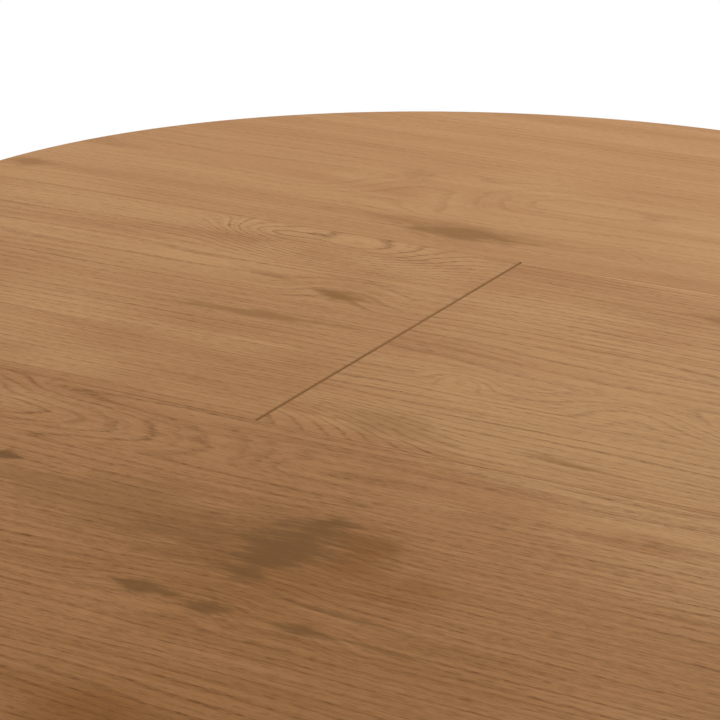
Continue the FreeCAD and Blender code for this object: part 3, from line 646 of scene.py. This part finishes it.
oakSides = [("far", 1), ("near", -1)]
oakHands = [("left", 1), ("right", -1)]
for end, towards in oakSides:
    for hand, aside in oakHands:
        name = f"{end}_{hand}"
        seed = 2.0 + towards + aside * 0.37
        heart = middle("leg_" + name) + Vector((0.085 * towards, 0.05 * aside, 0))
        dress(solidOak("leg_" + name, "z", heart, 0.0, seed), "leg_" + name)
        heart = middle("corner_block_" + name) + Vector((0, 0, -0.09))
        turn = math.pi / 4 * towards * aside
        dress(solidOak("block_" + name, "x", heart, turn, seed, 0.2), "corner_block_" + name)
    heart = middle("end_apron_" + end) + Vector((0.05, 0, -0.12))
    dress(solidOak("apron_" + end, "y", heart, 0.0, 5.0 + towards), "end_apron_" + end)
    heart = middle("cross_beam_" + end) + Vector((0.06, 0, 0.05))
    dress(solidOak("beam_" + end, "y", heart, 0.0, 8.0 + towards, 0.2), "cross_beam_" + end)
for hand, aside in oakHands:
    heart = middle("side_apron_" + hand) + Vector((0, 0.05, 0.11))
    dress(solidOak("apron_" + hand, "x", heart, 0.0, 11.0 + aside), "side_apron_" + hand)
print("solid oak: legs, aprons, beams and blocks")


metalLook = {"cloud": (22.0, 22.0, 22.0), "drawnRough": 0.12, "cloudRough": 0.06, "relief": 0.00004}
mouldedLook = {"cloud": (35.0, 35.0, 35.0), "fineRough": 0.14, "gloss": 0.4}


def drawnMetal(name, colour, dark, rough, lines, seed=0.0):  # lines: how the marks stretch along x, y and z
    finish = Finish(name)
    place = finish.place()
    drawn = finish.noise(place, lines, (seed, seed, seed), detail=3.0, rough=0.6)
    cloud = finish.noise(place, metalLook["cloud"], (seed, 0, 0), detail=3.0)
    shade = drawn.ramp(0.3, 0.7) * 0.5 + cloud.ramp(0.35, 0.65) * 0.5
    return finish.surface(
        colour=finish.mix(shade, colour, dark),
        roughness=rough + drawn * metalLook["drawnRough"] + cloud * metalLook["cloudRough"],
        metal=1.0,
        normal=finish.bump(drawn, metalLook["relief"], 0.4),
    )


def mouldedFinish(name, colour, dark, rough, grain, depth, glow=0.0, sheen=0.0):
    finish = Finish(name)
    place = finish.place()
    fine = finish.noise(place, (grain, grain, grain), detail=3.0, rough=0.6)
    cloud = finish.noise(place, mouldedLook["cloud"])
    shade = fine.ramp(0.35, 0.65) * 0.45 + cloud.ramp(0.3, 0.7) * 0.55
    return finish.surface(
        colour=finish.mix(shade, colour, dark),
        roughness=rough + fine * mouldedLook["fineRough"],
        gloss=mouldedLook["gloss"],
        glow=glow,
        sheen=sheen,
        normal=finish.bump(fine, depth, 0.6),
    )


aluminium = drawnMetal(
    "anodisedAluminium", tone(158, 160, 162), tone(146, 148, 151), 0.38, (3.0, 900.0, 900.0)
)
zinc = drawnMetal("zincSteel", tone(190, 192, 196), tone(160, 163, 168), 0.24, (240.0, 240.0, 240.0), 2.0)
brass = drawnMetal("brass", tone(205, 172, 104), tone(178, 143, 82), 0.26, (400.0, 60.0, 400.0), 4.0)
coated = mouldedFinish("coatedSteel", tone(62, 62, 64), tone(50, 50, 52), 0.46, 1400.0, 0.00006)
nylon = mouldedFinish("whiteNylon", tone(226, 224, 217), tone(214, 211, 202), 0.38, 700.0, 0.00002, glow=0.1)
greyPlastic = mouldedFinish("greyPlastic", tone(118, 119, 120), tone(104, 105, 106), 0.48, 1100.0, 0.00004)
rubber = mouldedFinish("rubber", tone(58, 56, 54), tone(44, 43, 42), 0.66, 800.0, 0.00008)
felt = mouldedFinish("felt", tone(122, 104, 86), tone(94, 79, 65), 0.9, 2200.0, 0.0003, sheen=0.5)

finishes = {
    "channel_aluminium": aluminium,
    "bright_steel": zinc,
    "hinge_brass": brass,
    "coated_steel": coated,
    "white_nylon": nylon,
    "grey_caps": greyPlastic,
    "rest_rubber": rubber,
    "glide_felt": felt,
}
for part in frame["record"]["subparts"]:
    if part["material_slot"] in finishes:
        dress(finishes[part["material_slot"]], part["node"])
print("metal and small parts: dressed")


spinSeed = 7  # for how far each screw is turned home
sharpFrom = math.radians(32)  # between two faces
sameFace = 0.0001  # metres
weld = 0.00001


class Recipe(Tree):  # a geometry node tree with named inputs
    def __init__(self, name, sizes):
        self.tree = bpy.data.node_groups.new(name, "GeometryNodeTree")
        face = self.tree.interface
        face.new_socket("Geometry", in_out="OUTPUT", socket_type="NodeSocketGeometry")
        face.new_socket("Geometry", in_out="INPUT", socket_type="NodeSocketGeometry")
        self.keys = {}
        for label, value in sizes.items():
            kind = {float: "NodeSocketFloat", int: "NodeSocketInt"}[type(value)]
            socket = face.new_socket(label, in_out="INPUT", socket_type=kind)
            socket.default_value = value
            self.keys[label] = socket.identifier
        self.start = self.tree.nodes.new("NodeGroupInput")

    def size(self, label):
        return Wire(self, self.start.outputs[label])

    def turned(self, rows, segments=24, flats=None):  # about Z through rows of (radius, height)
        grid = {"Size X": 1.0, "Size Y": 1.0, "Vertices X": segments + 1, "Vertices Y": len(rows)}
        sheet = self.node("GeometryNodeMeshGrid", {}, grid)
        x, y, z = self.axes(self.node("GeometryNodeInputPosition"))
        angle = (x + 0.5) * math.tau
        count = (y + 0.5) * (len(rows) - 1)
        row = count.sums("ROUND", count)
        choice = self.tree.nodes.new("GeometryNodeIndexSwitch")
        choice.data_type = "VECTOR"
        while len(choice.index_switch_items) < len(rows):
            choice.index_switch_items.new()
        self.tree.links.new(row.socket, choice.inputs["Index"])
        for number, (radius, height) in enumerate(rows):
            self.tree.links.new(self.vector(radius, 0.0, height).socket, choice.inputs[str(number)])
        radius, none, height = self.axes(Wire(self, choice.outputs[0]))
        if flats is not None:  # six sides
            side = (((x + 0.5) * 6).fraction() - 0.5) * (math.tau / 6)
            radius = radius.sums("MINIMUM", radius, flats / side.sums("COSINE", side))
        across = radius * angle.sums("COSINE", angle)
        spot = self.vector(across, radius * angle.sums("SINE", angle), height)
        sheet = self.node("GeometryNodeSetPosition", {}, {"Geometry": sheet, "Position": spot})
        return self.node("GeometryNodeMergeByDistance", {}, {"Geometry": sheet, "Distance": weld})

    def thread(self, crest, depth, pitch, first, last):  # a ridge that winds from one height to another
        run = first - last
        foot = crest - depth
        winding = {"Rotations": run / pitch, "Start Radius": foot, "End Radius": foot, "Height": run}
        spiral = self.node("GeometryNodeCurveSpiral", {}, {"Resolution": 12, **winding})
        ridge = self.node("GeometryNodeCurvePrimitiveCircle", {}, {"Resolution": 3, "Radius": depth})
        pair = {"Curve": spiral, "Profile Curve": ridge, "Fill Caps": True}
        wound = self.node("GeometryNodeCurveToMesh", {}, pair)
        lowered = {"Geometry": wound, "Translation": self.vector(0.0, 0.0, last)}
        return self.node("GeometryNodeTransform", {}, lowered)

    def block(self, x, y, z):
        return self.node("GeometryNodeMeshCube", {}, {"Size": self.vector(x, y, z)})

    def joined(self, *parts):
        return self.node("GeometryNodeJoinGeometry", {}, {"Geometry": list(reversed(parts))})

    def cut(self, body, *tools):
        settings = {"operation": "DIFFERENCE", "solver": "EXACT"}
        inputs = {"Mesh 1": body, "Mesh 2": list(tools), "Self Intersection": True}
        return self.node("GeometryNodeMeshBoolean", settings, inputs)

    def placed(self, piece, spin):  # one at each point of the host, its Z along the point's facing
        settings = {"data_type": "FLOAT_VECTOR"}
        facing = self.node("GeometryNodeInputNamedAttribute", settings, {"Name": "facing"})
        turn = self.node("FunctionNodeAlignRotationToVector", {"axis": "Z"}, {"Vector": facing})
        if spin:
            chance = {2: 0.0, 3: math.tau, "Seed": spinSeed}  # from, to
            angle = self.node("FunctionNodeRandomValue", {"data_type": "FLOAT"}, chance, output=1)
            around = self.node("FunctionNodeAxisAngleToRotation", {}, {"Angle": angle})
            pair = {"Rotation": turn, "Rotate By": around}
            turn = self.node("FunctionNodeRotateRotation", {"rotation_space": "LOCAL"}, pair)
        inputs = {"Points": self.size("Geometry"), "Instance": piece, "Rotation": turn}
        return self.node("GeometryNodeInstanceOnPoints", {}, inputs)

    def close(self, geometry, finish):
        real = self.node("GeometryNodeRealizeInstances", {}, {"Geometry": geometry})
        dressed = self.node("GeometryNodeSetMaterial", {}, {"Geometry": real, "Material": finish})
        self.node("NodeGroupOutput", {}, {"Geometry": dressed})


def make(name, recipe, host, sizes, body, stands):  # one plain mesh out of a recipe
    piece = bpy.data.objects.new(name, host)
    bpy.context.scene.collection.objects.link(piece)
    modifier = piece.modifiers.new("recipe", "NODES")
    modifier.node_group = recipe.tree
    for label, value in sizes.items():
        modifier[recipe.keys[label]] = value
    graph = bpy.context.evaluated_depsgraph_get()
    mesh = bpy.data.meshes.new_from_object(piece.evaluated_get(graph), depsgraph=graph)
    mesh.name = name
    piece.modifiers.clear()
    piece.data = mesh
    mesh.shade_smooth()
    mesh.set_sharp_from_angle(angle=sharpFrom)
    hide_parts(*stands)
    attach(piece, body)


def shells(name):  # the corners of each separate solid in a CAD node
    mesh = nodes[name].data
    owner = list(range(len(mesh.vertices)))

    def root(index):
        while owner[index] != index:
            owner[index] = owner[owner[index]]
            index = owner[index]
        return index

    seen = {}
    for vertex in mesh.vertices:
        key = tuple(round(part, 6) for part in vertex.co)
        owner[root(vertex.index)] = root(seen.setdefault(key, vertex.index))
    for edge in mesh.edges:
        owner[root(edge.vertices[0])] = root(edge.vertices[1])
    groups = {}
    for vertex in mesh.vertices:
        groups.setdefault(root(vertex.index), []).append(vertex.co.copy())
    return list(groups.values())


def hostMesh(name, spots):  # spots: (point, facing)
    mesh = bpy.data.meshes.new(name)
    mesh.from_pydata([tuple(point) for point, facing in spots], [], [])
    facings = mesh.attributes.new("facing", "FLOAT_VECTOR", "POINT")
    for index, (point, facing) in enumerate(spots):
        facings.data[index].vector = facing
    return mesh


def ends(corners):
    return Vector(map(min, zip(*corners))), Vector(map(max, zip(*corners)))


def screwSpots(name):  # where each plain screw's head ends, which way it faces, and how long it is
    spots = []
    for corners in shells(name):
        low, high = ends(corners)
        length = max(high - low)
        axis = list(high - low).index(length)
        along = Vector([float(axis == k) for k in range(3)])
        centre = (low + high) / 2

        def width(end):
            face = [corner - centre for corner in corners if abs(corner[axis] - end) < sameFace]
            return max((spot - along * spot.dot(along)).length for spot in face)

        facing = along if width(high[axis]) > width(low[axis]) else -along
        spots.append((centre + facing * length / 2, facing, length))
    return spots


threadDepth = 0.66  # of the step from core to crest, so that the ridge's foot sinks into the core
screwSizes = {
    "Head Radius": 0.004,
    "Head Height": 0.0025,
    "Crown": 0.0008,
    "Core Radius": 0.0015,
    "Thread Radius": 0.002,
    "Pitch": 0.0016,
    "Point": 0.005,
    "Recess Width": 0.0044,
    "Recess Gap": 0.0011,
    "Recess Depth": 0.0016,
    "Length": 0.04,
}


def screwRecipe():
    recipe = Recipe("crossHeadScrew", screwSizes)
    radius, height, crown = recipe.size("Head Radius"), recipe.size("Head Height"), recipe.size("Crown")
    core, length, point = recipe.size("Core Radius"), recipe.size("Length"), recipe.size("Point")
    body = recipe.turned(
        [
            (0.0, 0.0),
            (radius * 0.45, crown * -0.08),
            (radius * 0.78, crown * -0.4),
            (radius * 0.95, crown * -0.85),
            (radius, crown * -1.5),
            (radius, height * -1.0),
            (core * 1.25, height * -1.0),
            (core * 1.25, height * -1.6),
            (core, height * -1.8),
            (core, point - length),
            (0.0, length * -1.0),
        ]
    )
    width, gap, depth = recipe.size("Recess Width"), recipe.size("Recess Gap"), recipe.size("Recess Depth")
    body = recipe.cut(body, recipe.block(width, gap, depth * 2), recipe.block(gap, width, depth * 2))
    crest, pitch = recipe.size("Thread Radius"), recipe.size("Pitch")
    thread = recipe.thread(crest, (crest - core) * threadDepth, pitch, height * -2.2, point - length)
    recipe.close(recipe.placed(recipe.joined(body, thread), True), zinc)
    return recipe


screws = {
    "channel_screws": "root",
    "plate_screws": "root",
    "rail_screws_far": "far_half",
    "rail_screws_near": "near_half",
    "carrier_screws": "right_flap",
}
recipe = screwRecipe()
for name, body in screws.items():
    spots = screwSpots(name)
    host = hostMesh(name + "_spots", [(point, facing) for point, facing, length in spots])
    make("cross_head_" + name, recipe, host, {"Length": spots[0][2]}, body, [name])
print("fasteners: cross-head screws")


def cornerSpots(name):  # the inner end of each stud or nut in the corners, facing its leg
    spots = []
    for corners in shells(name):
        centre = sum(corners, Vector()) / len(corners)
        facing = Vector((math.copysign(1, centre.x), math.copysign(1, centre.y), 0)).normalized()
        along = [corner.dot(facing) for corner in corners]
        start = centre + facing * (min(along) - centre.dot(facing))
        spots.append((start, facing, max(along) - min(along)))
    return spots


studSizes = {
    "Crest Radius": 0.004,
    "Core Radius": 0.0034,
    "Pitch": 0.00125,
    "End Chamfer": 0.001,
    "Length": 0.073,
}
nutSizes = {"Flats Radius": 0.00692, "Bore Radius": 0.004, "Chamfer": 0.0008, "Thickness": 0.0065}


def studRecipe():
    recipe = Recipe("threadedStud", studSizes)
    crest, core, length = recipe.size("Crest Radius"), recipe.size("Core Radius"), recipe.size("Length")
    pitch, chamfer = recipe.size("Pitch"), recipe.size("End Chamfer")
    rod = recipe.turned(
        [
            (0.0, length),
            (core * 0.75, length),
            (core, length - chamfer),
            (core, chamfer),
            (core * 0.75, 0.0),
            (0.0, 0.0),
        ]
    )
    thread = recipe.thread(crest, (crest - core) * threadDepth, pitch, length - chamfer, chamfer)
    recipe.close(recipe.placed(recipe.joined(rod, thread), False), zinc)
    return recipe


def nutRecipe():
    recipe = Recipe("hexNut", nutSizes)
    flats, bore, chamfer = recipe.size("Flats Radius"), recipe.size("Bore Radius"), recipe.size("Chamfer")
    thickness = recipe.size("Thickness")
    corner = flats * 1.16
    rows = [
        (bore, thickness),
        (flats * 0.98, thickness),
        (corner, thickness - chamfer),
        (corner, chamfer),
        (flats * 0.98, 0.0),
        (bore, 0.0),
        (bore, thickness),
    ]
    recipe.close(recipe.placed(recipe.turned(rows, 36, flats), False), zinc)
    return recipe


legFixings = [
    ("threaded_studs", "leg_bolts", studRecipe(), "Length"),
    ("hex_nuts", "leg_nuts", nutRecipe(), "Thickness"),
]
for name, plain, recipe, measure in legFixings:
    spots = cornerSpots(plain)
    host = hostMesh(plain + "_spots", [(point, facing) for point, facing, length in spots])
    make(name, recipe, host, {measure: spots[0][2]}, "root", [plain])
print("fasteners: studs and nuts at the legs")


padSizes = {
    "Length": 0.060,
    "Width": 0.012,
    "Height": 0.0019,
    "Groove Depth": 0.0009,
    "Groove Pitch": 0.003,
    "Steps": 161,
}


def padRecipe():
    recipe = Recipe("ribbedPad", padSizes)
    length, width, height = recipe.size("Length"), recipe.size("Width"), recipe.size("Height")
    cube = {"Size": recipe.vector(length, width, height), "Vertices X": recipe.size("Steps")}
    strip = recipe.node("GeometryNodeMeshCube", {}, cube)
    x, y, z = recipe.axes(recipe.node("GeometryNodeInputPosition"))
    wave = (x / recipe.size("Groove Pitch") + 0.5) * math.tau
    groove = (wave.sums("COSINE", wave) * 0.5 + 0.5) ** 3
    sunk = groove * recipe.size("Groove Depth") * (z > 0.0) * (length * 0.49 > abs(x))
    ribbed = {"Geometry": strip, "Offset": recipe.vector(0.0, 0.0, sunk * -1)}
    pad = recipe.node("GeometryNodeSetPosition", {}, ribbed)
    recipe.close(recipe.placed(pad, False), rubber)
    return recipe


spots = []
for corners in shells("leaf_rest_pads"):
    low, high = ends(corners)
    spots.append(((low + high) / 2, Vector((0, 0, 1))))
sizes = dict(zip(["Length", "Width", "Height"], high - low))
host = hostMesh("pad_spots", spots)
make("ribbed_rest_pads", padRecipe(), host, sizes, "root", ["leaf_rest_pads"])
print("pads: ribbed rubber under the leaf")


# floor, light, background
studio = {
    "floor": tone(236, 234, 230),
    "floorSide": 60.0,
    "clearFrom": 1.5,  # metres out, from where the floor turns to plain white
    "clearBy": 2.6,
    "ambient": 0.42,
    "key": {"place": (3.1, -1.0, 3.2), "aim": (0.3, 0.0, 0.7), "side": 2.4, "watts": 106.0},
    "fill": {"place": (-0.6, 2.8, 2.8), "aim": (0.1, 0.3, 0.6), "side": 2.6, "watts": 24.0},
}


def seenStraight(finish):  # 1 for the camera, in metal and through glass
    path = finish.node("ShaderNodeLightPath", output="Is Camera Ray")
    return (path + path.other("Is Glossy Ray") + path.other("Is Transmission Ray")).clamped()


def addFloor():
    side = studio["floorSide"] / 2
    mesh = bpy.data.meshes.new("floor")
    corners = [(-side, -side, 0), (side, -side, 0), (side, side, 0), (-side, side, 0)]
    mesh.from_pydata(corners, [], [(0, 1, 2, 3)])
    floor = bpy.data.objects.new("floor", mesh)
    bpy.context.scene.collection.objects.link(floor)
    finish = Finish("paleFloor")
    place = finish.place()
    distance = finish.node("ShaderNodeVectorMath", {"operation": "LENGTH"}, {0: place}, output="Value")
    clear = distance.ramp(studio["clearFrom"], studio["clearBy"]) * seenStraight(finish)
    plain = finish.node("ShaderNodeBsdfDiffuse", {}, {"Color": studio["floor"]})
    white = finish.node("ShaderNodeEmission", {}, {"Color": (1, 1, 1, 1), "Strength": 1.0})
    mixed = finish.node("ShaderNodeMixShader", {}, {0: clear, 1: plain, 2: white})
    finish.node("ShaderNodeOutputMaterial", {}, {0: mixed})
    mesh.materials.append(finish.material)


def addLight(name, look):
    data = bpy.data.lights.new(name, "AREA")
    data.shape = "SQUARE"
    data.size = look["side"]
    data.energy = look["watts"]
    lamp = bpy.data.objects.new(name, data)
    bpy.context.scene.collection.objects.link(lamp)
    lamp.location = look["place"]
    aim = Vector(look["aim"]) - Vector(look["place"])
    lamp.rotation_euler = aim.to_track_quat("-Z", "Y").to_euler()


def addWorld():
    world = bpy.data.worlds.new("studio")
    world.use_nodes = True
    finish = Tree()
    finish.tree = world.node_tree
    finish.tree.nodes.clear()
    dim = finish.node("ShaderNodeBackground", {}, {"Color": (1, 1, 1, 1), "Strength": studio["ambient"]})
    white = finish.node("ShaderNodeBackground", {}, {"Color": (1, 1, 1, 1), "Strength": 1.0})
    mixed = finish.node("ShaderNodeMixShader", {}, {0: seenStraight(finish), 1: dim, 2: white})
    finish.node("ShaderNodeOutputWorld", {}, {0: mixed})
    bpy.context.scene.world = world


addFloor()
addLight("key", studio["key"])
addLight("fill", studio["fill"])
addWorld()
bpy.context.scene.view_settings.view_transform = "Standard"
print("studio: floor, two soft lights and white around")
